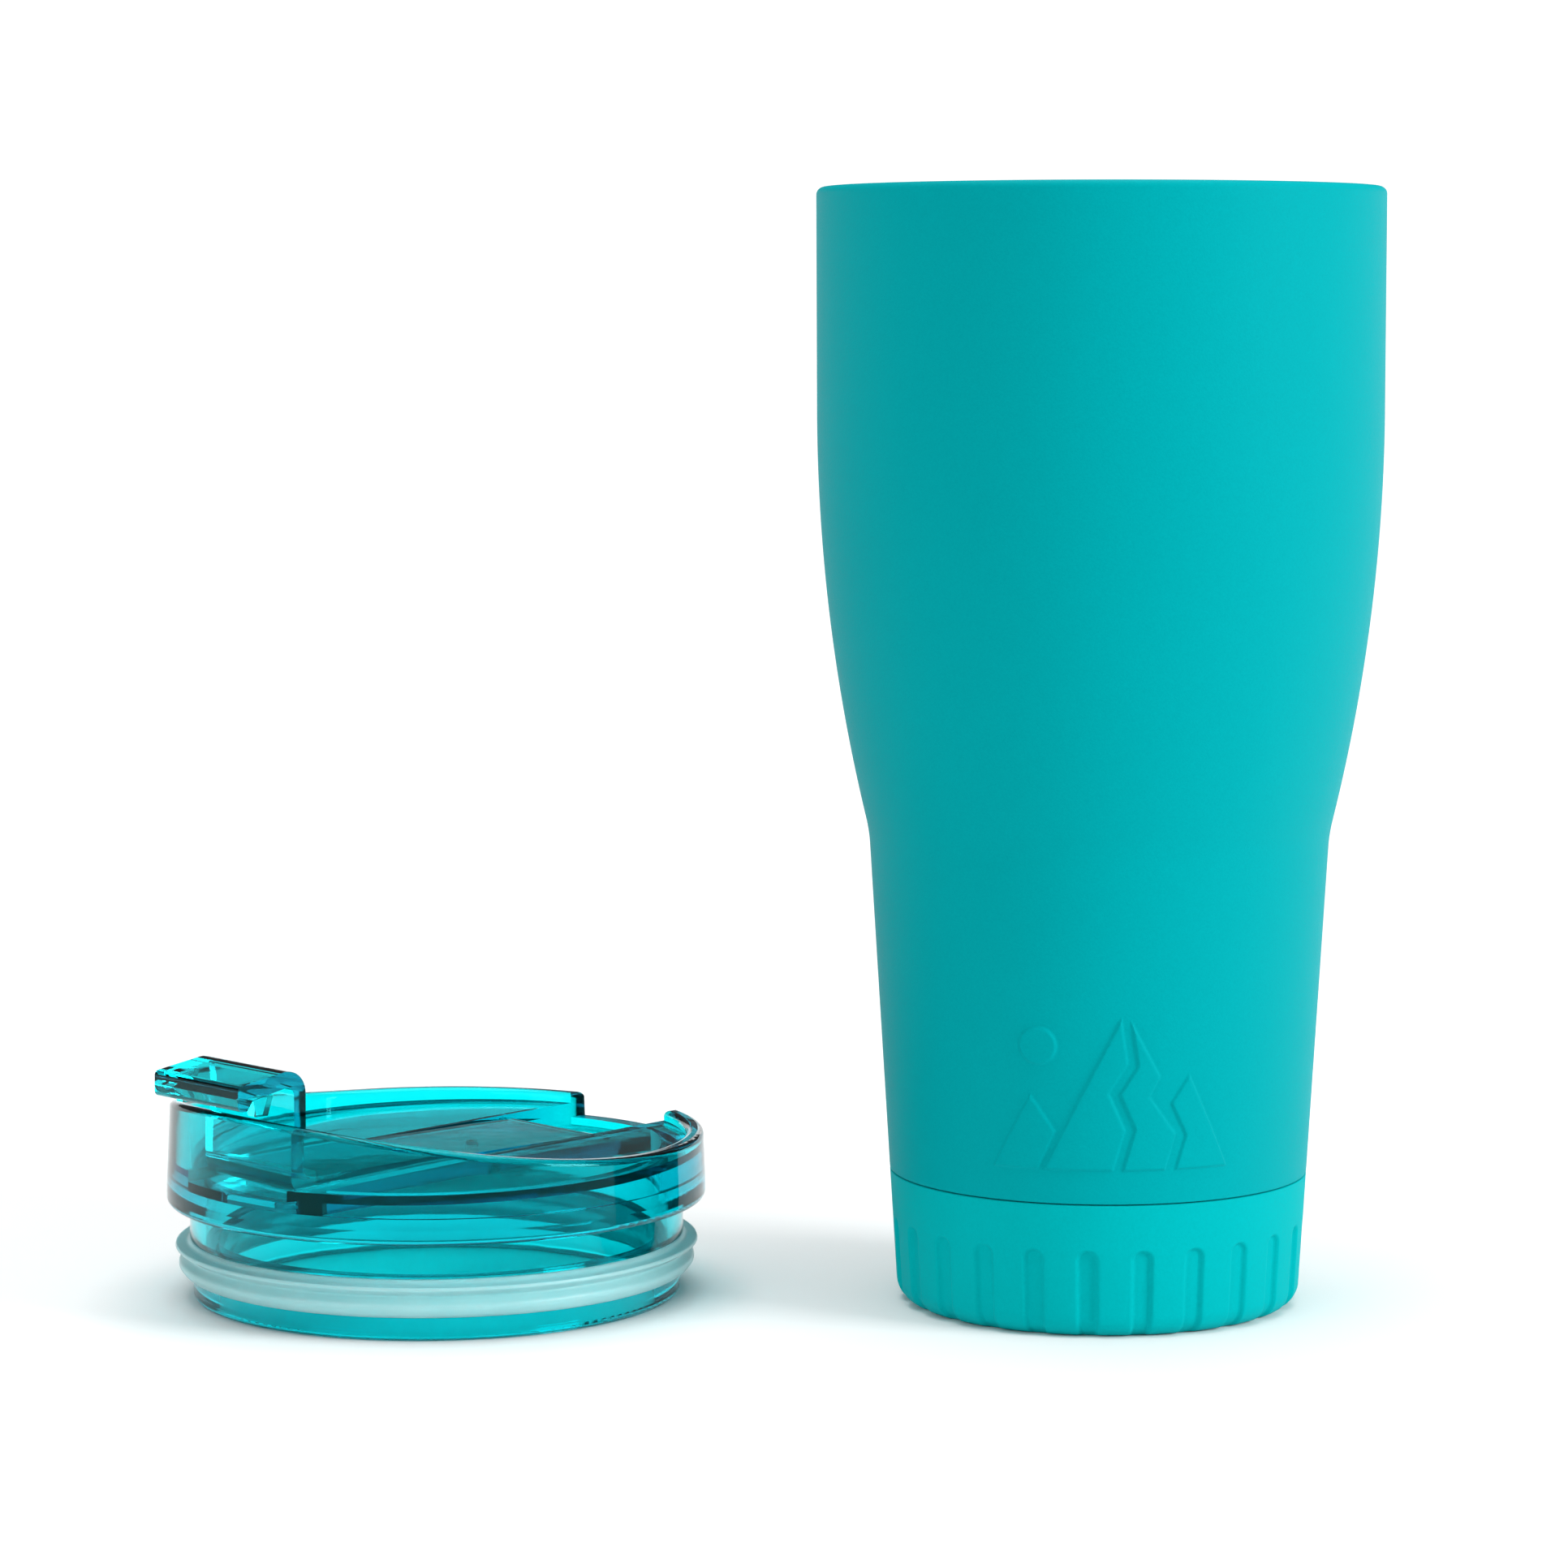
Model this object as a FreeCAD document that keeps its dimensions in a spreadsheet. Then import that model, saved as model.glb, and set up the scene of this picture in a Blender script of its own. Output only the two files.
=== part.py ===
"""Insulated drinking tumbler with a clear flip lid standing beside it (millimetres).

The cup is a double-wall steel vessel on a fluted silicone boot.  The lid stands on its plug to the
left of the cup, turned about its own axis, and a lever hinged at the back of the lid lies in a
channel across the deck and closes the mouth slot.

Frame: the origin is the centre of the boot's underside, +Z is up along the cup's axis.
The lid pieces are drawn about the lid's own axis, hinge towards +X, and then placed.
"""
import FreeCAD, Part
import math
import os
import re
import Sketcher
from FreeCAD import Placement, Rotation, Vector

DIMENSIONS = {
    # cup, outside
    "cup_height": 198.4,
    "rim_radius": 50.4,
    "belly_radius": 50.25,
    "belly_height": 160.0,
    "sweep_radius": 313.0,
    "crease_height": 84.0,
    "crease_blend": 20.0,
    "foot_radius": 35.65,
    "taper": 0.0625,
    "lip_round": 1.4,
    # cup, walls
    "steel": 0.5,
    "lip_thickness": 1.8,
    "lip_joint_radius": 48.4,
    "mouth_radius": 46.4,
    "lip_inner_round": 0.9,
    "floor_height": 15.0,
    "floor_round": 8.0,
    "pan_height": 8.0,
    "pump_hole_radius": 1.0,
    "seal_radius": 3.0,
    "seal_tip_radius": 2.1,
    "seal_thickness": 1.0,
    "cover_height": 5.0,
    "cover_play": 0.1,
    "foil_thickness": 0.15,
    "foil_gap": 0.6,
    "foil_low": 26.0,
    "foil_high": 188.0,
    "getter_offset": 15.0,
    "getter_radius": 4.0,
    "getter_height": 1.8,
    "clip_width": 5.0,
    "clip_thickness": 0.4,
    "clip_foot": 3.0,
    # boot
    "boot_top": 23.4,
    "shell_seam": 23.6,
    "boot_wall": 2.0,
    "boot_floor": 3.4,
    "boot_round": 4.0,
    "flute_count": 24,
    "flute_width": 3.2,
    "flute_top": 15.6,
    "flute_depth": 0.7,
    "flute_reach": 3.0,
    "flute_phase": 8.6,
    # lid, place and collar
    "lid_x": -118.6,
    "lid_y": 6.0,
    "lid_turn": 43.0,
    "neck_radius": 44.3,
    "neck_bottom": 11.0,
    "ring_bottom": 17.3,
    "ring_radius": 48.4,
    "ring_shoulder": 20.0,
    "ring_top_radius": 47.5,
    "ring_bore": 44.9,
    "rim_low": 29.3,
    "rim_flat_from": 20.0,
    "rim_sweep_radius": 275.0,
    "rim_round": 1.2,
    "rim_edge_round": 1.1,
    "blank_top": 42.0,
    "deck_height": 26.4,
    "deck_slope": 1.4,
    "deck_thickness": 2.4,
    "channel_half": 13.2,
    "channel_floor": 23.4,
    "trough_underside": 21.0,
    "trough_wall": 3.0,
    "gap_floor": 24.8,
    "gap_overlap": 2.0,
    "hollow_radius": 41.6,
    "pocket_ledge": 1.2,
    "slot_centre": 34.5,
    "slot_length": 17.0,
    "slot_width": 6.0,
    "vent_offset": 8.0,
    "vent_radius": 1.3,
    # plug and gasket
    "plug_radius": 43.7,
    "plug_core_radius": 42.0,
    "plug_bore": 39.2,
    "plug_flange": 4.1,
    "plug_inner_round": 0.7,
    "gasket_base": 43.9,
    "gasket_land": 44.5,
    "gasket_head": 44.2,
    "gasket_rib": 46.3,
    "rib_low": 6.0,
    "rib_high": 6.9,
    "rib_end": 8.1,
    "rib_round": 0.5,
    "gasket_lip": 46.8,
    "lip_low": 9.3,
    "lip_high": 9.95,
    "lip_root": 10.2,
    "lip_slant": 0.1,
    "lip_tip_round": 0.35,
    # lever
    "hinge_offset": 27.0,
    "hinge_height": 25.3,
    "lever_half_width": 12.15,
    "arm_thickness": 2.6,
    "trunnion_radius": 1.2,
    "trunnion_length": 1.6,
    "trunnion_clearance": 0.05,
    "trunnion_end_play": 0.2,
    "web_inner": 38.8,
    "web_outer": 41.3,
    "tab_tip": 53.2,
    "tab_top": 46.4,
    "tab_tip_top": 44.2,
    "tab_plate": 3.1,
    "tab_lip": 4.4,
    "tab_lip_width": 2.0,
    "tab_lip_run": 3.2,
    "tab_sag": 0.4,
    "tab_round": 0.95,
    "fold_round": 4.0,
    "fold_inner_round": 1.6,
    "web_inner_round": 2.0,
    "web_outer_round": 3.2,
    "leg_offset": 10.4,
    "leg_thickness": 2.4,
    "leg_bottom": 38.5,
    "leg_foot_in": 5.2,
    "leg_foot_out": 7.6,
    "leg_root_in": 4.0,
    "leg_root_out": 8.6,
    "leg_root_depth": 2.2,
    "slot_seal_drop": 2.2,
    "vent_seal_drop": 1.2,
    "seal_play": 0.35,
    # drawing aids
    "cut_reach": 60.0,
    "cut_margin": 1.0,
    "half_turn": 1.001,
}

doc = FreeCAD.newDocument("tumbler")
sheet = doc.addObject("Spreadsheet::Sheet", "Size")
for row, (alias, value) in enumerate(DIMENSIONS.items(), start=1):
    sheet.set("A%d" % row, alias)
    sheet.set("B%d" % row, str(value))
    sheet.setAlias("B%d" % row, alias)
doc.recompute()


# ---------------------------------------------------------------- helpers

def bound(text):
    """The expression with each driving dimension read from the sheet."""
    def reference(match):
        word = match.group()
        return "Size." + word if word in DIMENSIONS else word
    return re.sub(r"[a-z_]+", reference, text)


def number(text):
    """The expression's present value, for placing geometry before it is constrained."""
    return float(sheet.evalExpression(bound(text)))


def new_body(label):
    """An empty body whose label is the piece's name."""
    body = doc.addObject("PartDesign::Body", label)
    body.Label = label
    return body


def origin_plane(body, role):
    """One of the body's own origin planes."""
    return next(item for item in body.Origin.OriginFeatures if item.Role == role)


def new_sketch(body, name, role, lift="0", tilt="0"):
    """A sketch on an origin plane, moved along its normal and tilted about its first axis."""
    sketch = body.newObject("Sketcher::SketchObject", name)
    sketch.AttachmentSupport = [(origin_plane(body, role), "")]
    sketch.MapMode = "FlatFace"
    sketch.AttachmentOffset = Placement(Vector(0, 0, 0), Rotation(Vector(1, 0, 0), number(tilt)))
    sketch.setExpression("AttachmentOffset.Base.z", bound(lift))
    return sketch


def pin_point(sketch, geometry, end, across, up):
    """Fixes a point of the sketch at two expressions."""
    for kind, axis, text in (("DistanceX", -2, across), ("DistanceY", -1, up)):
        if text == "0":
            sketch.addConstraint(Sketcher.Constraint("PointOnObject", geometry, end, axis))
            continue
        limit = Sketcher.Constraint(kind, -1, 1, geometry, end, number(text))
        sketch.setExpression("Constraints[%d]" % sketch.addConstraint(limit), bound(text))


def arc_through(start, end, radius, turn):
    """The short arc between two points; turn is +1 when it runs anticlockwise."""
    middle = (start + end) * 0.5
    chord = end - start
    normal = Vector(-chord.y, chord.x, 0).normalize()
    reach = math.sqrt(max(radius ** 2 - (chord.Length / 2) ** 2, 0))
    centre = middle + normal * reach * turn
    first, last = (start, end) if turn > 0 else (end, start)
    first_angle = math.atan2(first.y - centre.y, first.x - centre.x)
    last_angle = math.atan2(last.y - centre.y, last.x - centre.x)
    return Part.ArcOfCircle(Part.Circle(centre, Vector(0, 0, 1), radius), first_angle, last_angle)


def outline(sketch, corners):
    """A closed outline.

    A corner is (across, up), or (across, up, radius, turn) when the edge that leaves it is an arc.
    """
    places = [Vector(number(corner[0]), number(corner[1]), 0) for corner in corners]
    base = sketch.GeometryCount
    ends = []
    for index, corner in enumerate(corners):
        start, end = places[index], places[(index + 1) % len(places)]
        if len(corner) == 2:
            sketch.addGeometry(Part.LineSegment(start, end), False)
            ends.append((1, 2))
        else:
            sketch.addGeometry(arc_through(start, end, number(corner[2]), corner[3]), False)
            ends.append((1, 2) if corner[3] > 0 else (2, 1))
    for index, corner in enumerate(corners):
        following = (index + 1) % len(corners)
        sketch.addConstraint(Sketcher.Constraint(
            "Coincident", base + index, ends[index][1], base + following, ends[following][0]))
        pin_point(sketch, base + index, ends[index][0], corner[0], corner[1])
        if len(corner) == 4:
            limit = Sketcher.Constraint("Radius", base + index, number(corner[2]))
            sketch.setExpression("Constraints[%d]" % sketch.addConstraint(limit), bound(corner[2]))


def circle(sketch, across, up, radius):
    """A circle whose centre and radius are expressions."""
    centre = Vector(number(across), number(up), 0)
    geometry = sketch.addGeometry(Part.Circle(centre, Vector(0, 0, 1), number(radius)), False)
    pin_point(sketch, geometry, 3, across, up)
    limit = Sketcher.Constraint("Radius", geometry, number(radius))
    sketch.setExpression("Constraints[%d]" % sketch.addConstraint(limit), bound(radius))


def turned(body, name, corners, kind="PartDesign::Revolution"):
    """Adds (Revolution) or removes (Groove) an outline turned about the body's Z axis."""
    sketch = new_sketch(body, name + "_outline", "XZ_Plane")
    outline(sketch, corners)
    feature = body.newObject(kind, name)
    feature.Profile = sketch
    feature.ReferenceAxis = (sketch, ["V_Axis"])
    feature.Angle = 360
    return checked(feature)


def checked(feature):
    """Recomputes and stops when a feature removed nothing or failed."""
    before = feature.BaseFeature.Shape.Volume if feature.BaseFeature else 0.0
    doc.recompute()
    if "Invalid" in feature.State or "Error" in feature.State:
        raise SystemExit("feature failed: %s: %s" % (feature.Name, feature.getStatusString()))
    if abs(feature.Shape.Volume - before) < 1e-6:
        raise SystemExit("feature changed nothing: " + feature.Name)
    return feature


def raised(body, name, sketch, length, both_ways=True, backwards=False):
    """A pad of the sketch, along its normal unless it is centred or backwards."""
    pad = body.newObject("PartDesign::Pad", name)
    pad.Profile = sketch
    pad.setExpression("Length", bound(length))
    pad.Midplane = both_ways
    pad.Reversed = backwards
    return checked(pad)


def cut_out(body, name, sketch, length, both_ways=False, backwards=False):
    """A pocket of the sketch, against the sketch's normal unless it is backwards."""
    pocket = body.newObject("PartDesign::Pocket", name)
    pocket.Profile = sketch
    pocket.setExpression("Length", bound(length))
    pocket.Midplane = both_ways
    pocket.Reversed = backwards
    return checked(pocket)


def rounded(body, name, radius, wanted):
    """Rounds every edge of the body's tip for which wanted(edge) is true."""
    base = body.Tip
    names = ["Edge%d" % index for index, edge in enumerate(base.Shape.Edges, start=1) if wanted(edge)]
    if not names:
        raise SystemExit("no edge to round: " + name)
    fillet = body.newObject("PartDesign::Fillet", name)
    fillet.Base = (base, names)
    fillet.setExpression("Radius", bound(radius))
    return checked(fillet)


def hoop(radius, height, slack=0.05):
    """Tests for a circular edge about the body's axis."""
    def wanted(edge):
        curve = edge.Curve
        if not isinstance(curve, Part.Circle):
            return False
        return (abs(curve.Center.z - number(height)) < slack
                and abs(curve.Radius - number(radius)) < slack
                and math.hypot(curve.Center.x, curve.Center.y) < slack)
    return wanted


def bar(across, up, slack=0.05):
    """Tests for a straight edge along Y at the given X and Z."""
    def wanted(edge):
        ends = [vertex.Point for vertex in edge.Vertexes]
        return (len(ends) == 2 and abs(ends[0].y - ends[1].y) > 1
                and all(abs(end.x - number(across)) < slack for end in ends)
                and all(abs(end.z - number(up)) < slack for end in ends))
    return wanted


def place_on_lid(body):
    """Stands a lid piece in its place beside the cup."""
    body.Placement = Placement(Vector(0, 0, 0), Rotation(Vector(0, 0, 1), number("lid_turn")))
    body.setExpression("Placement.Base.x", bound("lid_x"))
    body.setExpression("Placement.Base.y", bound("lid_y"))
    body.setExpression("Placement.Rotation.Angle", bound("lid_turn") + " * 1 deg")


def wall(height, inset="0"):
    """Radius of the lower wall at a height, less an inset."""
    return "foot_radius + taper * (%s) - (%s)" % (height, inset)


def wall_line(inset, low, high_radius, high):
    """The vessel's side from a low height up to its top, inset from the outside surface."""
    return [
        (wall(low, inset), low),
        (wall("crease_height", inset), "crease_height", "sweep_radius - (%s)" % inset, 1),
        ("belly_radius - (%s)" % inset, "belly_height"),
        (high_radius, high),
    ]


# ---------------------------------------------------------------- cup

def make_outer_shell():
    """Coated outer wall: flared above, narrow below, stepped in under the boot, curled at the lip."""
    body = new_body("outer_shell")
    side = wall_line("0", "shell_seam", "rim_radius", "cup_height")
    turned(body, "shell_blank", [
        ("0", "boot_floor"),
        (wall("boot_floor", "boot_wall"), "boot_floor"),
        (wall("shell_seam", "boot_wall"), "shell_seam"),
        *side,
        ("0", "cup_height"),
    ])
    rounded(body, "crease_outside", "crease_blend", hoop(wall("crease_height"), "crease_height"))
    rounded(body, "lip_outside", "lip_round", hoop("rim_radius", "cup_height"))
    inside = wall_line("steel", "shell_seam + steel", "rim_radius - steel", "cup_height - lip_thickness")
    turned(body, "shell_hollow", [
        ("0", "boot_floor - cut_margin"),
        (wall("boot_floor", "boot_wall + steel"), "boot_floor - cut_margin"),
        (wall("shell_seam", "boot_wall + steel"), "shell_seam + steel"),
        *inside,
        ("lip_joint_radius", "cup_height - lip_thickness"),
        ("lip_joint_radius", "cup_height + cut_margin"),
        ("0", "cup_height + cut_margin"),
    ], kind="PartDesign::Groove")
    rounded(body, "crease_inside", "crease_blend + steel",
            hoop(wall("crease_height", "steel"), "crease_height"))


def make_inner_liner():
    """Bare steel inner wall and floor, with a flange that meets the outer wall at the lip."""
    body = new_body("inner_liner")
    inset = "rim_radius - mouth_radius"
    skin = inset + " - steel"
    turned(body, "liner_blank", [
        ("0", "floor_height - steel"),
        (wall("floor_height", skin), "floor_height - steel"),
        (wall("crease_height", skin), "crease_height", "sweep_radius - (%s)" % skin, 1),
        ("mouth_radius + steel", "belly_height"),
        ("mouth_radius + steel", "cup_height - lip_thickness"),
        ("lip_joint_radius", "cup_height - lip_thickness"),
        ("lip_joint_radius", "cup_height"),
        ("0", "cup_height"),
    ])
    rounded(body, "liner_foot", "floor_round + steel",
            hoop(wall("floor_height", skin), "floor_height - steel"))
    rounded(body, "liner_crease", "crease_blend", hoop(wall("crease_height", skin), "crease_height"))
    corner = "floor_round * tan(45 deg - atan(taper) / 2)"
    turned(body, "drink_space", [
        ("0", "floor_height"),
        (wall("floor_height", inset) + " - " + corner, "floor_height", "floor_round", 1),
        (wall("floor_height", inset) + " + %s * sin(atan(taper))" % corner,
         "floor_height + %s * cos(atan(taper))" % corner),
        (wall("crease_height", inset), "crease_height", "sweep_radius - (%s)" % inset, 1),
        ("mouth_radius", "belly_height"),
        ("mouth_radius", "cup_height + cut_margin"),
        ("0", "cup_height + cut_margin"),
    ], kind="PartDesign::Groove")
    rounded(body, "crease_corner", "crease_blend + steel",
            hoop(wall("crease_height", inset), "crease_height"))
    rounded(body, "lip_inside", "lip_inner_round", hoop("mouth_radius", "cup_height"))


def make_outer_base():
    """Pan welded into the bottom of the outer wall, with the pump-out hole in its middle."""
    body = new_body("outer_base")
    edge = wall("boot_floor", "boot_wall + steel")
    upper_edge = wall("pan_height", "boot_wall + steel")
    turned(body, "pan", [
        ("pump_hole_radius", "pan_height - steel"),
        (upper_edge + " - steel", "pan_height - steel"),
        (edge + " - steel", "boot_floor"),
        (edge, "boot_floor"),
        (upper_edge, "pan_height"),
        ("pump_hole_radius", "pan_height"),
    ])


def make_vacuum_seal():
    """Bead of solder glass that closes the pump-out hole from below."""
    body = new_body("vacuum_seal")
    turned(body, "bead", [
        ("0", "pan_height - steel - seal_thickness"),
        ("seal_tip_radius", "pan_height - steel - seal_thickness"),
        ("seal_radius", "pan_height - steel"),
        ("0", "pan_height - steel"),
    ])


def make_base_cover():
    """Thin disc pressed in under the pan."""
    body = new_body("base_cover")
    skirt = wall("cover_height", "boot_wall + steel * 2 + cover_play")
    turned(body, "disc", [
        ("0", "cover_height - steel"),
        (skirt, "cover_height - steel"),
        (skirt, "cover_height"),
        ("0", "cover_height"),
    ])


def make_getter():
    """Getter pill lying on the pan inside the vacuum."""
    body = new_body("getter")
    sketch = new_sketch(body, "pill_outline", "XY_Plane", lift="pan_height")
    circle(sketch, "getter_offset", "0", "getter_radius")
    raised(body, "pill", sketch, "getter_height", both_ways=False)


def make_getter_clip():
    """Strap spot-welded over the getter pill."""
    body = new_body("getter_clip")
    sketch = new_sketch(body, "strap_outline", "XZ_Plane")
    top = "pan_height + getter_height"
    left, right = "getter_offset - getter_radius", "getter_offset + getter_radius"
    outline(sketch, [
        (left + " - clip_foot", "pan_height"),
        (left, "pan_height"),
        (left, top),
        (right, top),
        (right, "pan_height"),
        (right + " + clip_foot", "pan_height"),
        (right + " + clip_foot", "pan_height + clip_thickness"),
        (right + " + clip_thickness", "pan_height + clip_thickness"),
        (right + " + clip_thickness", top + " + clip_thickness"),
        (left + " - clip_thickness", top + " + clip_thickness"),
        (left + " - clip_thickness", "pan_height + clip_thickness"),
        (left + " - clip_foot", "pan_height + clip_thickness"),
    ])
    raised(body, "strap", sketch, "clip_width")


def make_radiation_foil():
    """Foil sleeve round the liner, inside the vacuum gap."""
    body = new_body("radiation_foil")
    inner = "rim_radius - mouth_radius - steel - foil_gap"
    outer = inner + " - foil_thickness"
    inner_top = "mouth_radius + steel + foil_gap"
    turned(body, "sleeve", [
        (wall("foil_low", inner), "foil_low"),
        (wall("foil_low", outer), "foil_low"),
        (wall("crease_height", outer), "crease_height", "sweep_radius - (%s)" % outer, 1),
        (inner_top + " + foil_thickness", "belly_height"),
        (inner_top + " + foil_thickness", "foil_high"),
        (inner_top, "foil_high"),
        (inner_top, "belly_height", "sweep_radius - (%s)" % inner, -1),
        (wall("crease_height", inner), "crease_height"),
    ])


def make_base_boot():
    """Silicone boot: a flush cup over the stepped foot, with upright flutes open at the bottom."""
    body = new_body("base_boot")
    turned(body, "boot_blank", [
        ("0", "0"),
        (wall("0"), "0"),
        (wall("boot_top"), "boot_top"),
        ("0", "boot_top"),
    ])
    rounded(body, "boot_edge", "boot_round", hoop(wall("0"), "0"))
    turned(body, "boot_socket", [
        ("0", "boot_floor"),
        (wall("boot_floor", "boot_wall"), "boot_floor"),
        (wall("boot_top + cut_margin", "boot_wall"), "boot_top + cut_margin"),
        ("0", "boot_top + cut_margin"),
    ], kind="PartDesign::Groove")
    lean = math.degrees(math.atan(number("taper")))
    sketch = new_sketch(body, "flute_outline", "XZ_Plane", lift="foot_radius + flute_reach",
                        tilt=str(lean))
    half = "flute_width / 2"
    outline(sketch, [
        ("-" + half, "-" + half),
        (half, "-" + half),
        (half, "flute_top - %s" % half, half + " * half_turn", 1),
        ("-" + half, "flute_top - %s" % half),
    ])
    pocket = cut_out(body, "flute", sketch, "flute_depth + flute_reach")
    pattern = body.newObject("PartDesign::PolarPattern", "flutes")
    pattern.Originals = [pocket]
    z_axis = next(item for item in body.Origin.OriginFeatures if item.Role == "Z_Axis")
    pattern.Axis = (z_axis, [""])
    pattern.Angle = 360
    pattern.setExpression("Occurrences", bound("flute_count"))
    body.Tip = pattern
    checked(pattern)
    body.Placement = Placement(Vector(0, 0, 0), Rotation(Vector(0, 0, 1), number("flute_phase")))
    body.setExpression("Placement.Rotation.Angle", bound("flute_phase") + " * 1 deg")


# ---------------------------------------------------------------- lid

def make_lid_body():
    """Clear collar: outer ring with a swept rim, sloping deck, lever channel, mouth slot and vent."""
    body = new_body("lid_body")
    turned(body, "collar_blank", [
        ("0", "neck_bottom"),
        ("neck_radius", "neck_bottom"),
        ("neck_radius", "ring_bottom"),
        ("ring_radius", "ring_bottom"),
        ("ring_radius", "ring_shoulder"),
        ("ring_top_radius", "blank_top"),
        ("0", "blank_top"),
    ])
    rounded(body, "ring_lower_edge", "rim_round", hoop("ring_radius", "ring_bottom"))

    recess = new_sketch(body, "recess_outline", "XY_Plane", lift="deck_height")
    recess.AttachmentOffset = Placement(recess.AttachmentOffset.Base,
                                        Rotation(Vector(0, 1, 0), -number("deck_slope")))
    circle(recess, "0", "0", "ring_bore")
    cut_out(body, "recess", recess, "blank_top", backwards=True)

    sweep = new_sketch(body, "rim_sweep_outline", "XZ_Plane")
    rim_high = "rim_low + rim_sweep_radius - sqrt(rim_sweep_radius ^ 2 - (cut_reach + rim_flat_from) ^ 2)"
    outline(sweep, [
        ("-cut_reach", rim_high, "rim_sweep_radius", 1),
        ("rim_flat_from", "rim_low"),
        ("cut_reach", "rim_low"),
        ("cut_reach", "blank_top + cut_margin"),
        ("-cut_reach", "blank_top + cut_margin"),
    ])
    cut_out(body, "rim_sweep", sweep, "ring_radius * 3", both_ways=True)

    reach = "sqrt(ring_bore ^ 2 - channel_half ^ 2)"
    channel = new_sketch(body, "channel_outline", "XY_Plane", lift="channel_floor")
    outline(channel, [
        ("-" + reach, "channel_half", "ring_bore", 1),
        ("-" + reach, "-channel_half"),
        (reach, "-channel_half", "ring_bore", 1),
        (reach, "channel_half"),
    ])
    cut_out(body, "channel", channel, "blank_top", backwards=True)

    gap = new_sketch(body, "gap_outline", "XY_Plane", lift="gap_floor")
    outline(gap, [
        (reach + " - gap_overlap", "-channel_half"),
        ("cut_reach", "-channel_half"),
        ("cut_reach", "channel_half"),
        (reach + " - gap_overlap", "channel_half"),
    ])
    cut_out(body, "lever_gap", gap, "blank_top", backwards=True)

    hollow = new_sketch(body, "hollow_outline", "XY_Plane", lift="trough_underside")
    circle(hollow, "0", "0", "hollow_radius")
    cut_out(body, "hollow", hollow, "blank_top")

    side = "channel_half + trough_wall"
    pocket_radius = "hollow_radius - pocket_ledge"
    side_reach = "sqrt((%s) ^ 2 - (%s) ^ 2)" % (pocket_radius, side)
    for name, sign in (("left", "-"), ("right", "")):
        pocket = new_sketch(body, name + "_pocket_outline", "XY_Plane", lift="deck_height - deck_thickness")
        pocket.AttachmentOffset = Placement(pocket.AttachmentOffset.Base,
                                            Rotation(Vector(0, 1, 0), -number("deck_slope")))
        turn = 1 if sign == "" else -1
        outline(pocket, [
            (side_reach, "%s(%s)" % (sign, side), pocket_radius, turn),
            ("-" + side_reach, "%s(%s)" % (sign, side)),
        ])
        cut_out(body, name + "_pocket", pocket, "deck_height - deck_thickness - neck_bottom")

    slot = new_sketch(body, "slot_outline", "XY_Plane", lift="blank_top")
    half, end = "slot_width / 2", "slot_length / 2 - slot_width / 2"
    outline(slot, [
        ("-slot_centre - " + half, end),
        ("-slot_centre - " + half, "-(" + end + ")", half + " * half_turn", 1),
        ("-slot_centre + " + half, "-(" + end + ")"),
        ("-slot_centre + " + half, end, half + " * half_turn", 1),
    ])
    cut_out(body, "mouth_slot", slot, "blank_top")

    vent = new_sketch(body, "vent_outline", "XY_Plane", lift="blank_top")
    circle(vent, "vent_offset", "0", "vent_radius")
    cut_out(body, "vent", vent, "blank_top")

    socket = new_sketch(body, "trunnion_socket_outline", "XZ_Plane")
    circle(socket, "hinge_offset", "hinge_height", "trunnion_radius + trunnion_clearance")
    cut_out(body, "trunnion_sockets", socket,
            "(channel_half + trunnion_length + trunnion_end_play) * 2", both_ways=True)

    def on_rim(edge):
        middle = edge.valueAt((edge.FirstParameter + edge.LastParameter) / 2)
        distance = math.hypot(middle.x, middle.y)
        top = number("rim_low") - 0.1
        ends = [vertex.Point.z for vertex in edge.Vertexes]
        return middle.z > top and min(ends) > top and distance > number("ring_bore") - 1

    rounded(body, "rim_edge", "rim_edge_round", on_rim)
    place_on_lid(body)


def make_lid_plug():
    """Clear ring welded under the collar; it makes the gasket's groove and the lid's foot."""
    body = new_body("lid_plug")
    turned(body, "ring", [
        ("plug_bore", "0"),
        ("plug_radius", "0"),
        ("plug_radius", "plug_flange"),
        ("plug_core_radius", "plug_flange"),
        ("plug_core_radius", "neck_bottom"),
        ("plug_bore", "neck_bottom"),
    ])
    rounded(body, "foot_edge", "rim_round", hoop("plug_radius", "0"))
    rounded(body, "foot_inner_edge", "plug_inner_round", hoop("plug_bore", "0"))
    place_on_lid(body)


def make_lid_gasket():
    """Silicone ring in the plug's groove: a rounded rib below and a thin flared lip above."""
    body = new_body("lid_gasket")
    low, high = "plug_flange", "neck_bottom"
    turned(body, "ring", [
        ("plug_core_radius", low),
        ("gasket_base", low),
        ("gasket_rib", "rib_low", "rib_round", 1),
        ("gasket_rib", "rib_high"),
        ("gasket_land", "rib_end"),
        ("gasket_lip", "lip_low", "lip_tip_round", 1),
        ("gasket_lip - lip_slant", "lip_high"),
        ("gasket_land", "lip_root"),
        ("gasket_head", high),
        ("plug_core_radius", high),
    ])
    place_on_lid(body)


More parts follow.
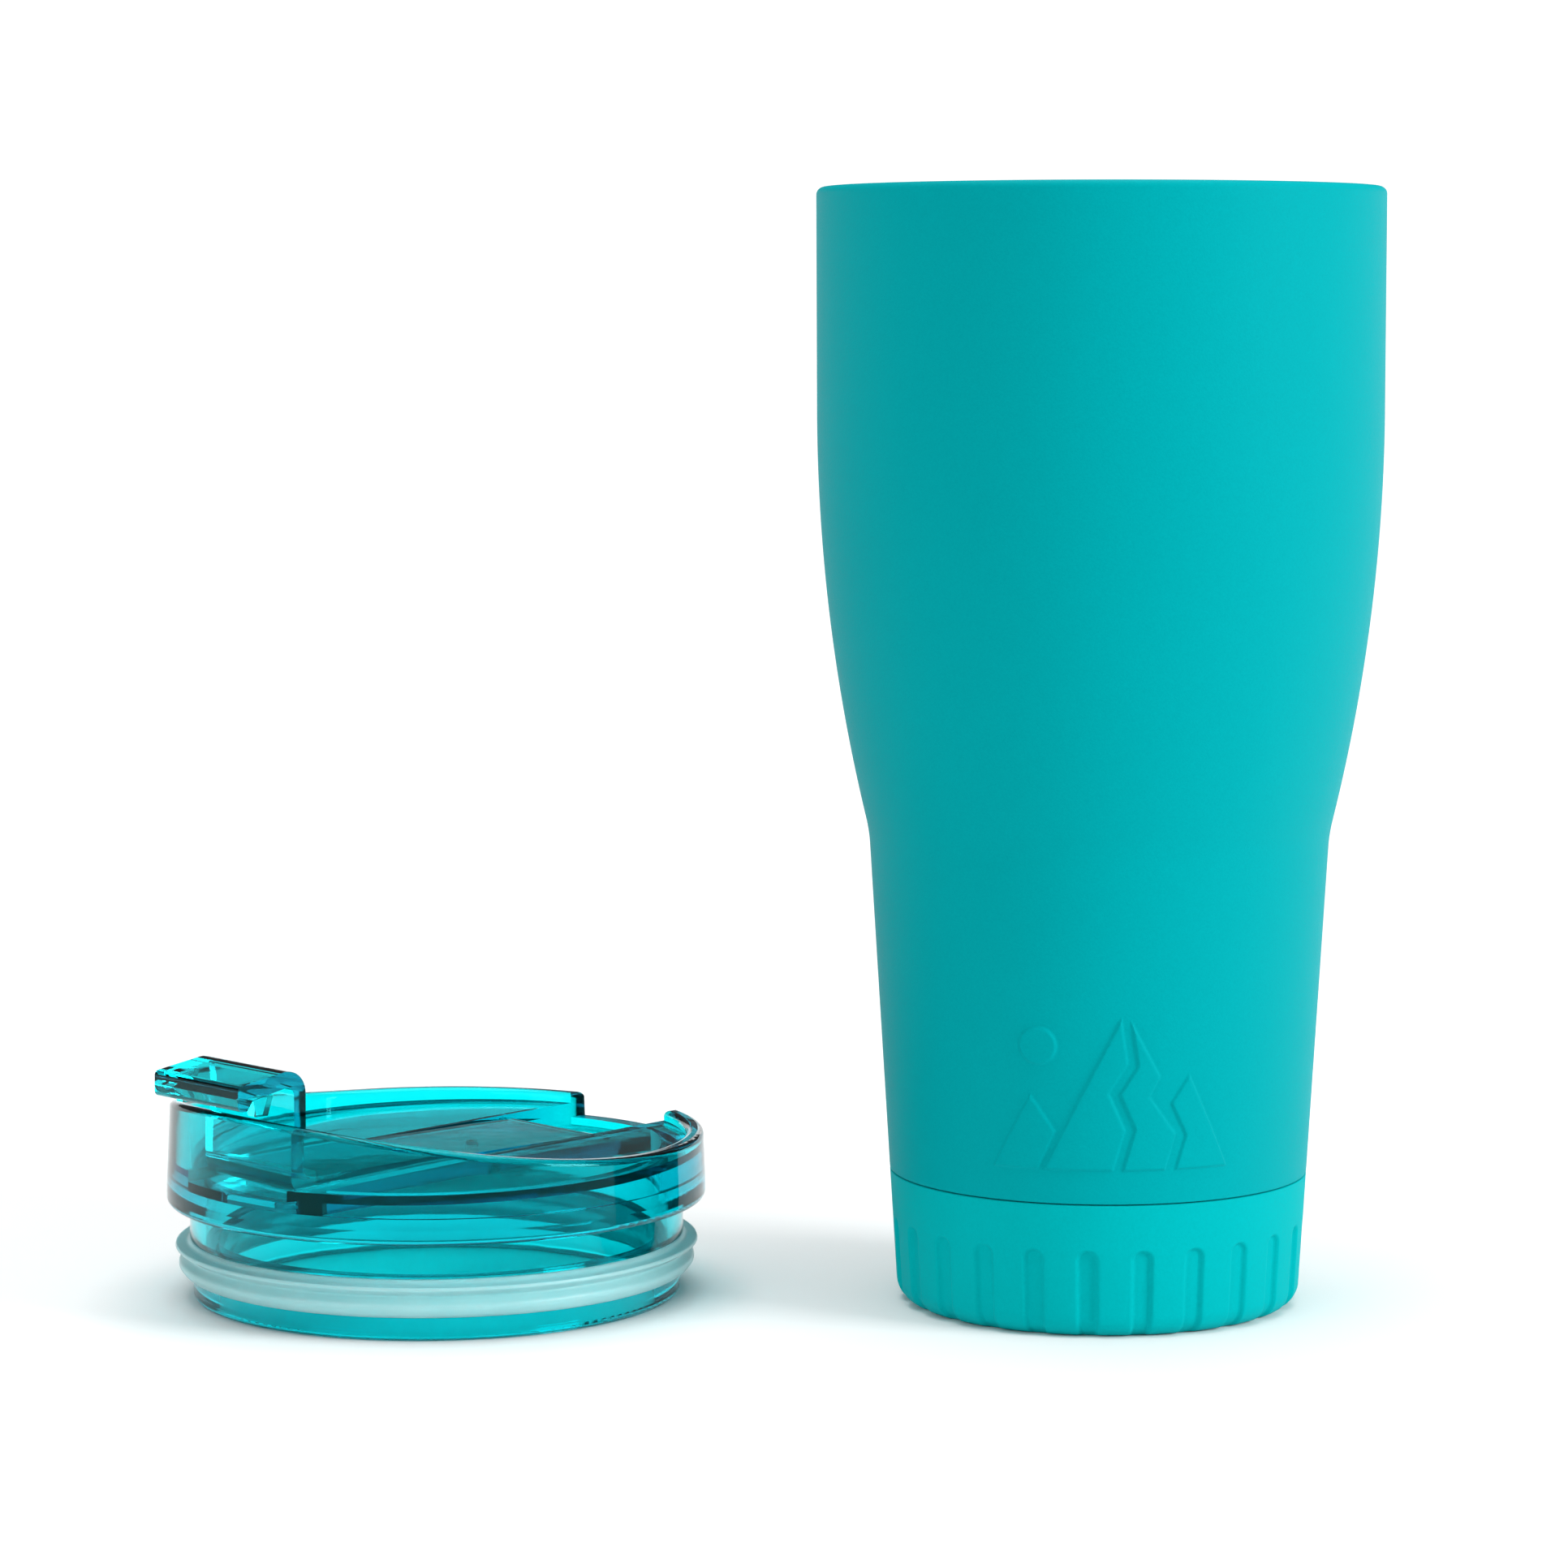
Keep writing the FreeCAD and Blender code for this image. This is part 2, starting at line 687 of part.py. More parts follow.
def make_flip_lever():
    """Lever: arm in the channel, trunnions, upright web, thumb plate with a lip, and two legs."""
    body = new_body("flip_lever")
    bottom = "hinge_height - arm_thickness / 2"
    top = "hinge_height + arm_thickness / 2"
    side = new_sketch(body, "lever_side", "XZ_Plane")
    outline(side, [
        ("hinge_offset", bottom),
        ("hinge_offset", top),
        ("-web_inner", top),
        ("-web_inner", "tab_top"),
        ("-tab_tip", "tab_tip_top"),
        ("-tab_tip", "tab_tip_top - tab_lip"),
        ("-tab_tip + tab_lip_width", "tab_tip_top - tab_lip"),
        ("-tab_tip + tab_lip_run", "tab_tip_top - tab_plate + tab_sag"),
        ("-web_outer", "tab_top - tab_plate"),
        ("-web_outer", bottom),
    ])
    raised(body, "lever_blank", side, "lever_half_width * 2")

    barrel = new_sketch(body, "barrel_outline", "XZ_Plane")
    circle(barrel, "hinge_offset", "hinge_height", "arm_thickness / 2")
    raised(body, "barrel", barrel, "lever_half_width * 2")

    rounded(body, "fold_outside", "fold_round", bar("-web_inner", "tab_top"))
    rounded(body, "fold_inside", "fold_inner_round", bar("-web_outer", "tab_top - tab_plate"))
    rounded(body, "web_foot_inside", "web_inner_round", bar("-web_inner", top))
    rounded(body, "web_foot_outside", "web_outer_round", bar("-web_outer", bottom))
    rounded(body, "tab_edge", "tab_round",
            lambda edge: bar("-tab_tip", "tab_tip_top")(edge)
            or bar("-tab_tip", "tab_tip_top - tab_lip")(edge))

    trunnion = new_sketch(body, "trunnion_outline", "XZ_Plane")
    circle(trunnion, "hinge_offset", "hinge_height", "trunnion_radius")
    raised(body, "trunnions", trunnion, "(channel_half + trunnion_length) * 2")

    for name, sign in (("left", "-"), ("right", "")):
        leg = new_sketch(body, name + "_leg_outline", "XZ_Plane", lift="%sleg_offset" % sign)
        root = "tab_tip_top - leg_root_depth"
        outline(leg, [
            ("-web_outer - leg_foot_out", "leg_bottom"),
            ("-web_outer - leg_foot_in", "leg_bottom"),
            ("-web_outer - leg_root_in", root),
            ("-web_outer - leg_root_out", root),
        ])
        raised(body, name + "_leg", leg, "leg_thickness")
    place_on_lid(body)


def make_slot_seal():
    """Silicone stopper under the lever that fills the mouth slot."""
    body = new_body("slot_seal")
    sketch = new_sketch(body, "stopper_outline", "XY_Plane", lift="hinge_height - arm_thickness / 2")
    half = "slot_width / 2 - seal_play"
    end = "slot_length / 2 - slot_width / 2"
    outline(sketch, [
        ("-slot_centre - (%s)" % half, end),
        ("-slot_centre - (%s)" % half, "-(%s)" % end, "(%s) * half_turn" % half, 1),
        ("-slot_centre + (%s)" % half, "-(%s)" % end),
        ("-slot_centre + (%s)" % half, end, "(%s) * half_turn" % half, 1),
    ])
    raised(body, "stopper", sketch, "slot_seal_drop", both_ways=False, backwards=True)
    place_on_lid(body)


def make_vent_seal():
    """Silicone nub under the lever that closes the vent hole."""
    body = new_body("vent_seal")
    sketch = new_sketch(body, "nub_outline", "XY_Plane", lift="hinge_height - arm_thickness / 2")
    circle(sketch, "vent_offset", "0", "vent_radius - seal_play")
    raised(body, "nub", sketch, "vent_seal_drop", both_ways=False, backwards=True)
    place_on_lid(body)


make_outer_shell()
make_inner_liner()
make_outer_base()
make_vacuum_seal()
make_base_cover()
make_getter()
make_getter_clip()
make_radiation_foil()
make_base_boot()
make_lid_body()
make_lid_plug()
make_lid_gasket()
make_flip_lever()
make_slot_seal()
make_vent_seal()
doc.recompute()

failed = [item.Name for item in doc.Objects if "Invalid" in item.State or "Error" in item.State]
if failed:
    raise SystemExit("failed objects: " + ", ".join(failed))
pieces = [item for item in doc.Objects if item.TypeId == "PartDesign::Body"]
for piece in pieces:
    if piece.Shape.isNull() or not piece.Shape.isValid():
        raise SystemExit("bad shape: " + piece.Label)
os.makedirs("parts", exist_ok=True)
for piece in pieces:
    piece.Shape.exportStep("parts/%s.step" % piece.Label)
    box = piece.Shape.BoundBox
    print("%-16s volume %9.1f  z %7.2f to %7.2f  solids %d"
          % (piece.Label, piece.Shape.Volume, box.ZMin, box.ZMax, len(piece.Shape.Solids)))
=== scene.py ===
"""Looks for the insulated drinking tumbler and its clear flip lid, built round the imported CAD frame."""
import math

import bmesh
import bpy
import numpy as np
from mathutils import Matrix, Vector


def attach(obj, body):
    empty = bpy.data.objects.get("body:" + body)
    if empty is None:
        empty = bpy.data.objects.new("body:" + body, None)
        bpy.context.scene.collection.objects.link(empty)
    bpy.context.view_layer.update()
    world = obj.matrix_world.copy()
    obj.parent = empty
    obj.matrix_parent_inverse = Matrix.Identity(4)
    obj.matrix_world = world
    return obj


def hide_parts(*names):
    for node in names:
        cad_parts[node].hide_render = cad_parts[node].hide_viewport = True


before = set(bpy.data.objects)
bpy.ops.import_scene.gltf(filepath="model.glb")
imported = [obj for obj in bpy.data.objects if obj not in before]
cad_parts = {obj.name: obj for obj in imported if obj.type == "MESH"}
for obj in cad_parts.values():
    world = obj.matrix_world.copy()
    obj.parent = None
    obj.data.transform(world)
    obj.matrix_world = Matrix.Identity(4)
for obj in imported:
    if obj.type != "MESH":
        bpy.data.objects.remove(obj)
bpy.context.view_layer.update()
MM = 0.001

# The cup's outside, in millimetres about its own axis, as the CAD parts have it.
CUP_HEIGHT = 198.4
RIM_RADIUS = 50.4
BELLY_RADIUS = 50.25
BELLY_HEIGHT = 160.0
SWEEP_RADIUS = 313.0
CREASE_HEIGHT = 84.0
CREASE_SOFTNESS = 0.45
FOOT_RADIUS = 35.65
TAPER = 0.0625
LIP_ROUND = 1.4
LIP_JOINT = 48.4
LIP_THICKNESS = 1.8
STEEL = 0.5
SHELL_SEAM = 23.6
SEAM_ROUND = 0.15
BOOT_TOP = 23.4
BOOT_WALL = 2.0
BOOT_FLOOR = 3.4
BOOT_ROUND = 4.0
FLUTES = 24
FLUTE_PHASE = math.radians(8.6)
FLUTE_HALF = 1.95
FLUTE_SOFT = 0.75
FLUTE_DEPTH = 0.75
FLUTE_FADE = 1.6
BOOT_EDGE = 0.3
FLUTE_TOP = 15.6
FRONT = -math.pi / 2

# The lid's place, and the gasket in its groove about the lid's own axis.
LID_X, LID_Y, LID_TURN = -118.6, 6.0, math.radians(43.0)
GASKET_LOW, GASKET_HIGH, GASKET_CORE = 4.15, 10.95, 42.05
GASKET_LAND, GASKET_FLARE = 44.5, 2.5
GASKET_WAVE, GASKET_WAVE_TURN = 0.10, 0.7

# The camera stands here, in metres, and looks down by this angle.
CAMERA_PLACE = (-0.0561, -0.8455, 0.1766)
CAMERA_DOWN = math.radians(2.87)


# ---------------------------------------------------------------- node helpers

def new_material(name):
    """A material with its Principled shader."""
    material = bpy.data.materials.new(name)
    material.use_nodes = True
    tree = material.node_tree
    shader = next(item for item in tree.nodes if item.type == "BSDF_PRINCIPLED")
    return material, tree, shader


def noise(tree, scale, detail=2.0, roughness=0.5, stretch=None):
    """Noise on the object's own coordinates; stretch scales the axes one by one."""
    place = tree.nodes.new("ShaderNodeTexCoord")
    source = place.outputs["Object"]
    if stretch is not None:
        mapping = tree.nodes.new("ShaderNodeMapping")
        mapping.inputs["Scale"].default_value = stretch
        tree.links.new(source, mapping.inputs["Vector"])
        source = mapping.outputs["Vector"]
    texture = tree.nodes.new("ShaderNodeTexNoise")
    texture.inputs["Scale"].default_value = scale
    texture.inputs["Detail"].default_value = detail
    texture.inputs["Roughness"].default_value = roughness
    tree.links.new(source, texture.inputs["Vector"])
    return texture.outputs["Fac"]


def ramp(tree, factor, low, high, low_at=0.3, high_at=0.7):
    """A value or colour that runs from low to high with the factor."""
    node = tree.nodes.new("ShaderNodeValToRGB")
    node.color_ramp.elements[0].position = low_at
    node.color_ramp.elements[1].position = high_at
    for element, value in zip(node.color_ramp.elements, (low, high)):
        element.color = (value, value, value, 1) if isinstance(value, float) else (*value, 1)
    tree.links.new(factor, node.inputs["Fac"])
    return node.outputs["Color"]


def mixed(tree, first, second, factor, blend="MIX"):
    """Two colours mixed by a fixed factor."""
    node = tree.nodes.new("ShaderNodeMix")
    node.data_type = "RGBA"
    node.blend_type = blend
    node.inputs["Factor"].default_value = factor
    tree.links.new(first, node.inputs["A"])
    tree.links.new(second, node.inputs["B"])
    return node.outputs["Result"]


def bump(tree, shader, heights, distance, strength=1.0):
    """Adds bumps to a shader, one height after another."""
    previous = None
    for height, depth in zip(heights, distance):
        node = tree.nodes.new("ShaderNodeBump")
        node.inputs["Strength"].default_value = strength
        node.inputs["Distance"].default_value = depth
        tree.links.new(height, node.inputs["Height"])
        if previous is not None:
            tree.links.new(previous, node.inputs["Normal"])
        previous = node.outputs["Normal"]
    tree.links.new(previous, shader.inputs["Normal"])


# ---------------------------------------------------------------- materials

def powder_coat():
    """Matte teal powder coat: fine orange-peel grain and very slight cloudiness in the colour."""
    material, tree, shader = new_material("powder_coat")
    grain = noise(tree, 2600, 2.0, 0.6)
    cloud = noise(tree, 18, 2.0, 0.5)
    broad = ramp(tree, cloud, (0.0, 0.316, 0.344), (0.0, 0.332, 0.360))
    fine = ramp(tree, grain, (0.0, 0.300, 0.328), (0.0, 0.348, 0.376))
    tree.links.new(mixed(tree, broad, fine, 0.45), shader.inputs["Base Color"])
    tree.links.new(ramp(tree, grain, 0.46, 0.58), shader.inputs["Roughness"])
    shader.inputs["IOR"].default_value = 1.3
    shader.inputs["Specular IOR Level"].default_value = 0.08
    shader.inputs["Specular Tint"].default_value = (0.15, 0.9, 1.0, 1)
    bump(tree, shader, [grain, noise(tree, 700, 2.0, 0.5)], [0.00004, 0.00003], 0.5)
    return material


def boot_silicone():
    """Teal silicone: softer and more matte than the coat."""
    material, tree, shader = new_material("boot_silicone")
    grain = noise(tree, 1900, 3.0, 0.6)
    cloud = noise(tree, 30, 2.0, 0.5)
    broad = ramp(tree, cloud, (0.0, 0.385, 0.405), (0.0, 0.405, 0.425))
    fine = ramp(tree, grain, (0.0, 0.370, 0.390), (0.0, 0.425, 0.445))
    tree.links.new(mixed(tree, broad, fine, 0.5), shader.inputs["Base Color"])
    tree.links.new(ramp(tree, grain, 0.58, 0.72), shader.inputs["Roughness"])
    shader.inputs["IOR"].default_value = 1.3
    shader.inputs["Specular IOR Level"].default_value = 0.08
    shader.inputs["Specular Tint"].default_value = (0.15, 0.9, 1.0, 1)
    bump(tree, shader, [grain], [0.00005], 0.5)
    return material


def brushed_steel():
    """Bare steel turned on a lathe: fine rings round the upright axis."""
    material, tree, shader = new_material("brushed_steel")
    rings = noise(tree, 1.0, 2.0, 0.5, stretch=(6, 6, 2600))
    smear = noise(tree, 60, 2.0, 0.5, stretch=(1, 1, 0.3))
    tree.links.new(ramp(tree, rings, (0.76, 0.76, 0.75), (0.84, 0.84, 0.83)), shader.inputs["Base Color"])
    tree.links.new(mixed(tree, ramp(tree, rings, 0.30, 0.42), ramp(tree, smear, 0.3, 0.42), 0.4),
                   shader.inputs["Roughness"])
    shader.inputs["Metallic"].default_value = 1.0
    bump(tree, shader, [rings], [0.00001], 0.25)
    return material


def plain_detail(name, low, high, roughness, metallic, scale):
    """A small hidden piece: two close tones over a fine grain."""
    material, tree, shader = new_material(name)
    grain = noise(tree, scale, 3.0, 0.6)
    tree.links.new(ramp(tree, grain, low, high), shader.inputs["Base Color"])
    tree.links.new(ramp(tree, grain, roughness, roughness + 0.12), shader.inputs["Roughness"])
    shader.inputs["Metallic"].default_value = metallic
    bump(tree, shader, [grain], [0.00005], 0.6)
    return material


def clear_tint(name, density):
    """Clear tinted moulding: refraction, absorption in the wall and faint moulding flow in the surface."""
    material, tree, shader = new_material(name)
    flow = noise(tree, 90, 2.0, 0.5)
    tree.links.new(ramp(tree, flow, (0.04, 0.97, 0.975), (0.08, 0.985, 0.99)), shader.inputs["Base Color"])
    tree.links.new(ramp(tree, flow, 0.015, 0.05), shader.inputs["Roughness"])
    shader.inputs["Transmission Weight"].default_value = 1.0
    shader.inputs["IOR"].default_value = 1.42
    shader.inputs["Specular Tint"].default_value = (0.1, 0.95, 1.0, 1)
    bump(tree, shader, [flow], [0.00008], 0.35)
    absorb = tree.nodes.new("ShaderNodeVolumeAbsorption")
    absorb.inputs["Color"].default_value = (0.0, 0.965, 0.976, 1)
    absorb.inputs["Density"].default_value = density
    output = next(item for item in tree.nodes if item.type == "OUTPUT_MATERIAL")
    tree.links.new(absorb.outputs["Volume"], output.inputs["Volume"])
    return material


def gasket_silicone():
    """Milky translucent silicone with a satin skin."""
    material, tree, shader = new_material("gasket_silicone")
    cloud = noise(tree, 140, 3.0, 0.5)
    tree.links.new(ramp(tree, cloud, (0.56, 0.93, 0.95), (0.64, 0.97, 0.98)), shader.inputs["Base Color"])
    tree.links.new(ramp(tree, cloud, 0.30, 0.42), shader.inputs["Roughness"])
    shader.inputs["Transmission Weight"].default_value = 0.55
    shader.inputs["IOR"].default_value = 1.41
    shader.inputs["Subsurface Weight"].default_value = 0.35
    shader.inputs["Subsurface Radius"].default_value = (0.002, 0.003, 0.003)
    shader.inputs["Subsurface Scale"].default_value = 1.0
    bump(tree, shader, [cloud], [0.00005], 0.3)
    return material


COAT = powder_coat()
BOOT = boot_silicone()
STEEL_SKIN = brushed_steel()
CLEAR = clear_tint("clear_lid", 1100)
CLEAR_LEVER = clear_tint("clear_lever", 950)
GASKET = gasket_silicone()
SEAL_GLASS = plain_detail("seal_glass", (0.10, 0.11, 0.10), (0.16, 0.17, 0.16), 0.15, 0.0, 900)
GETTER = plain_detail("getter_alloy", (0.16, 0.16, 0.155), (0.26, 0.26, 0.25), 0.6, 0.7, 2400)
FOIL = plain_detail("rolled_foil", (0.74, 0.74, 0.75), (0.84, 0.84, 0.85), 0.18, 1.0, 260)

NODE_SKINS = {
    "inner_liner": STEEL_SKIN,
    "outer_base": STEEL_SKIN,
    "base_cover": STEEL_SKIN,
    "getter_clip": STEEL_SKIN,
    "vacuum_seal": SEAL_GLASS,
    "getter": GETTER,
    "radiation_foil": FOIL,
    "lid_body": CLEAR,
    "lid_plug": CLEAR,
    "flip_lever": CLEAR_LEVER,
    "slot_seal": GASKET,
    "vent_seal": GASKET,
}
for node_name, skin in NODE_SKINS.items():
    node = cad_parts[node_name]
    node.data.materials.clear()
    node.data.materials.append(skin)


# ---------------------------------------------------------------- turned meshes

def turned_mesh(name, profile, angles, shape=None):
    """A closed solid of revolution about Z from a closed (radius, height) loop in millimetres.

    shape(radius, height, angle) may move the radius of a point; rows on the axis close in a point.
    """
    radius = np.array([point[0] for point in profile])[:, None]
    height = np.array([point[1] for point in profile])[:, None]
    angle = np.array(angles)[None, :]
    radius, height, angle = np.broadcast_arrays(radius, height, angle)
    if shape is not None:
        radius = shape(radius, height, angle)
    points = np.stack([radius * np.cos(angle), radius * np.sin(angle), height], axis=-1)
    rows, columns = radius.shape
    points = points.reshape(-1, 3) * MM
    faces = []
    for row in range(rows):
        after = (row + 1) % rows
        if profile[row][0] < 1e-9 and profile[after][0] < 1e-9:
            continue
        for column in range(columns):
            beside = (column + 1) % columns
            faces.append((row * columns + column, row * columns + beside,
                          after * columns + beside, after * columns + column))
    mesh = bpy.data.meshes.new(name)
    mesh.from_pydata(points.tolist(), [], faces)
    made = bmesh.new()
    made.from_mesh(mesh)
    bmesh.ops.remove_doubles(made, verts=made.verts, dist=1e-7)
    bmesh.ops.dissolve_degenerate(made, dist=1e-8, edges=made.edges)
    bmesh.ops.recalc_face_normals(made, faces=made.faces)
    for face in made.faces:
        face.smooth = True
    made.to_mesh(mesh)
    made.free()
    piece = bpy.data.objects.new(name, mesh)
    bpy.context.scene.collection.objects.link(piece)
    return piece


def quarter(centre_r, centre_z, radius, start, end, steps):
    """Points on an arc of the profile, angles in degrees."""
    turns = np.radians(np.linspace(start, end, steps))
    return [(centre_r + radius * math.cos(turn), centre_z + radius * math.sin(turn)) for turn in turns]


def crisp(piece, angle=38):
    """Smooth shading that stays sharp over real corners."""
    piece.data.set_sharp_from_angle(angle=math.radians(angle))


def wall_radius(height):
    """The cup's outside radius at a height: straight foot, crease, long sweep, belly."""
    height = np.asarray(height, float)
    crease_radius = FOOT_RADIUS + TAPER * CREASE_HEIGHT
    chord = math.hypot(BELLY_RADIUS - crease_radius, BELLY_HEIGHT - CREASE_HEIGHT)
    reach = math.sqrt(SWEEP_RADIUS ** 2 - (chord / 2) ** 2)
    across = (BELLY_HEIGHT - CREASE_HEIGHT) / chord
    up = (BELLY_RADIUS - crease_radius) / chord
    centre_r = (BELLY_RADIUS + crease_radius) / 2 - reach * across
    centre_z = (BELLY_HEIGHT + CREASE_HEIGHT) / 2 + reach * up
    foot = FOOT_RADIUS + TAPER * height
    sweep = centre_r + np.sqrt(np.maximum(SWEEP_RADIUS ** 2 - (height - centre_z) ** 2, 0))
    nearness = np.maximum(CREASE_SOFTNESS - np.abs(foot - sweep), 0) / CREASE_SOFTNESS
    lower = np.maximum(foot, sweep) + nearness ** 2 * CREASE_SOFTNESS / 4
    share = np.clip((height - BELLY_HEIGHT) / (CUP_HEIGHT - BELLY_HEIGHT), 0, 1)
    upper = BELLY_RADIUS + (RIM_RADIUS - BELLY_RADIUS) * share
    return np.where(height < BELLY_HEIGHT, np.where(height < CREASE_HEIGHT - 10, foot, lower), upper)


# ---------------------------------------------------------------- relief on the shell

RELIEF_BASE = 29.5
RELIEF_MARGIN = 2.0
RELIEF_BAND = 29.0
RELIEF_MIDDLE = 12.0
RELIEF_HALF_ANGLE = math.radians(36)
RELIEF_HEIGHT = 0.42
RELIEF_EDGE = 0.55
RELIEF_SHOULDER = 0.35
SKIN_DEPTH = 0.05
CREASE_BAND = 4.0
RIDGES = [
    [(-12.0, 0.0), (1.4, 26.5), (2.6, 18.5), (-0.6, 13.5), (2.2, 7.0), (0.2, 0.0)],
    [(3.0, 26.0), (8.2, 16.2), (6.4, 12.8), (11.2, 6.2), (9.4, 0.0), (1.8, 0.0), (3.9, 7.2), (1.2, 13.3),
     (4.3, 18.2)],
    [(11.2, 0.0), (13.0, 6.0), (10.2, 11.6), (13.4, 16.5), (21.5, 0.0)],
    [(-21.5, 0.0), (-14.2, 13.0), (-9.7, 6.6), (-12.9, 0.0)],
]
SUN_CENTRE, SUN_RADIUS = (-12.8, 21.5), 3.3


def inside_distance(across, up, corners):
    """Distance to a polygon's edge, positive inside."""
    best = np.full(across.shape, 1e9)
    inside = np.zeros(across.shape, bool)
    for (ax, ay), (bx, by) in zip(corners, corners[1:] + corners[:1]):
        ex, ey = bx - ax, by - ay
        share = np.clip(((across - ax) * ex + (up - ay) * ey) / (ex * ex + ey * ey), 0, 1)
        best = np.minimum(best, np.hypot(across - ax - share * ex, up - ay - share * ey))
        crosses = ((ay > up) != (by > up)) & (across < ex * (up - ay) / (ey if ey else 1e-9) + ax)
        inside ^= crosses
    return np.where(inside, best, -best)


def soft_step(value):
    value = np.clip(value, 0, 1)
    return value * value * (3 - 2 * value)


def relief(radius, height, angle):
    """Raises the mountain ridge out of the shell's outside."""
    turn = (angle - FRONT + math.pi) % (2 * math.pi) - math.pi
    across = turn * (FOOT_RADIUS + TAPER * (RELIEF_BASE + RELIEF_MIDDLE))
    up = height - RELIEF_BASE
    distance = SUN_RADIUS - np.hypot(across - SUN_CENTRE[0], up - SUN_CENTRE[1])
    for corners in RIDGES:
        distance = np.maximum(distance, inside_distance(across, up, corners))
    outside = radius > wall_radius(height) - SKIN_DEPTH
    raised = RELIEF_HEIGHT * soft_step(distance / RELIEF_EDGE + RELIEF_SHOULDER)
    return np.where(outside, radius + raised, radius)


def shell_angles():
    """Angles round the shell: close together across the relief, wider elsewhere."""
    left, right = FRONT - RELIEF_HALF_ANGLE, FRONT + RELIEF_HALF_ANGLE
    fine = np.linspace(left, right, 260)
    coarse = np.linspace(right, left + 2 * math.pi, 170)[1:-1]
    return np.concatenate([fine, coarse])


def make_shell():
    """Outer shell with its relief, curled lip and stepped foot."""
    bottom = float(wall_radius(SHELL_SEAM))
    relief_low, relief_high = RELIEF_BASE - RELIEF_MARGIN, RELIEF_BASE + RELIEF_BAND
    crease_low, crease_high = CREASE_HEIGHT - CREASE_BAND, CREASE_HEIGHT + CREASE_BAND
    outside_heights = np.concatenate([
        np.linspace(SHELL_SEAM + SEAM_ROUND, relief_low, 8)[1:],
        np.linspace(relief_low, relief_high, 150)[1:],
        np.linspace(relief_high, crease_low, 14)[1:],
        np.linspace(crease_low, crease_high, 24)[1:],
        np.linspace(crease_high, BELLY_HEIGHT, 44)[1:],
        np.linspace(BELLY_HEIGHT, CUP_HEIGHT - LIP_ROUND, 12)[1:],
    ])
    inside_heights = np.concatenate([
        np.linspace(CUP_HEIGHT - LIP_THICKNESS, BELLY_HEIGHT, 8),
        np.linspace(BELLY_HEIGHT, CREASE_HEIGHT, 24)[1:],
        np.linspace(CREASE_HEIGHT, SHELL_SEAM + STEEL, 8)[1:],
    ])
    foot_in = FOOT_RADIUS + TAPER * BOOT_FLOOR - BOOT_WALL
    profile = [(bottom - BOOT_WALL, SHELL_SEAM), (bottom - SEAM_ROUND * 2, SHELL_SEAM)]
    profile += quarter(bottom - SEAM_ROUND, SHELL_SEAM + SEAM_ROUND, SEAM_ROUND, -90, 0, 5)
    profile += [(float(wall_radius(z)), float(z)) for z in outside_heights]
    profile += quarter(RIM_RADIUS - LIP_ROUND, CUP_HEIGHT - LIP_ROUND, LIP_ROUND, 0, 90, 9)[1:]
    profile += [(LIP_JOINT, CUP_HEIGHT), (LIP_JOINT, CUP_HEIGHT - LIP_THICKNESS)]
    profile += [(float(wall_radius(z)) - STEEL, float(z)) for z in inside_heights]
    profile += [(bottom - BOOT_WALL - STEEL, SHELL_SEAM)]
    profile += [(foot_in - STEEL, BOOT_FLOOR), (foot_in, BOOT_FLOOR)]
    piece = turned_mesh("shell_coated", profile, shell_angles(), relief)
    crisp(piece)
    piece.data.materials.append(COAT)
    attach(piece, "cup")
    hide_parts("outer_shell")


def fluted(radius, height, angle):
    """Presses the upright flutes into the boot's outside."""
    pitch = 2 * math.pi / FLUTES
    turn = (angle - FRONT - FLUTE_PHASE + pitch / 2) % pitch - pitch / 2
    across = turn * FOOT_RADIUS
    above = np.maximum(height - (FLUTE_TOP - FLUTE_HALF), 0)
    depth = FLUTE_DEPTH * soft_step((FLUTE_HALF - np.hypot(across, above)) / FLUTE_SOFT)
    reach = np.clip((radius - (FOOT_RADIUS - BOOT_ROUND)) / BOOT_ROUND, 0, 1)
    outside = radius > FOOT_RADIUS + TAPER * height - BOOT_WALL * 0.9
    return np.where(outside | (height < 0.5), radius - depth * soft_step(reach * FLUTE_FADE), radius)


def make_boot():
    """Silicone boot with soft flutes that run out through its bottom edge."""
    top = FOOT_RADIUS + TAPER * BOOT_TOP
    edge = BOOT_EDGE
    lift = np.concatenate([np.linspace(BOOT_ROUND, FLUTE_TOP - 3, 22)[1:],
                           np.linspace(FLUTE_TOP - 3, FLUTE_TOP + 1, 26)[1:],
                           np.linspace(FLUTE_TOP + 1, BOOT_TOP - edge, 6)[1:]])
    bottom_rings = [(0.0, 0.0), (12.0, 0.0), (24.0, 0.0), (29.0, 0.0)]
    corner = quarter(FOOT_RADIUS + TAPER * BOOT_ROUND - BOOT_ROUND, BOOT_ROUND, BOOT_ROUND, -90, 0, 14)
    profile = bottom_rings + corner
    profile += [(FOOT_RADIUS + TAPER * z, z) for z in lift]
    profile += quarter(top - edge, BOOT_TOP - edge, edge, 15, 90, 5)
    profile += [(top - BOOT_WALL, BOOT_TOP), (FOOT_RADIUS + TAPER * BOOT_FLOOR - BOOT_WALL, BOOT_FLOOR),
                (0.0, BOOT_FLOOR)]
    angles = np.linspace(0, 2 * math.pi, FLUTES * 30, endpoint=False)
    piece = turned_mesh("boot_fluted", profile, angles, fluted)
    crisp(piece, 50)
    piece.data.materials.append(BOOT)
    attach(piece, "cup")
    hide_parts("base_boot")


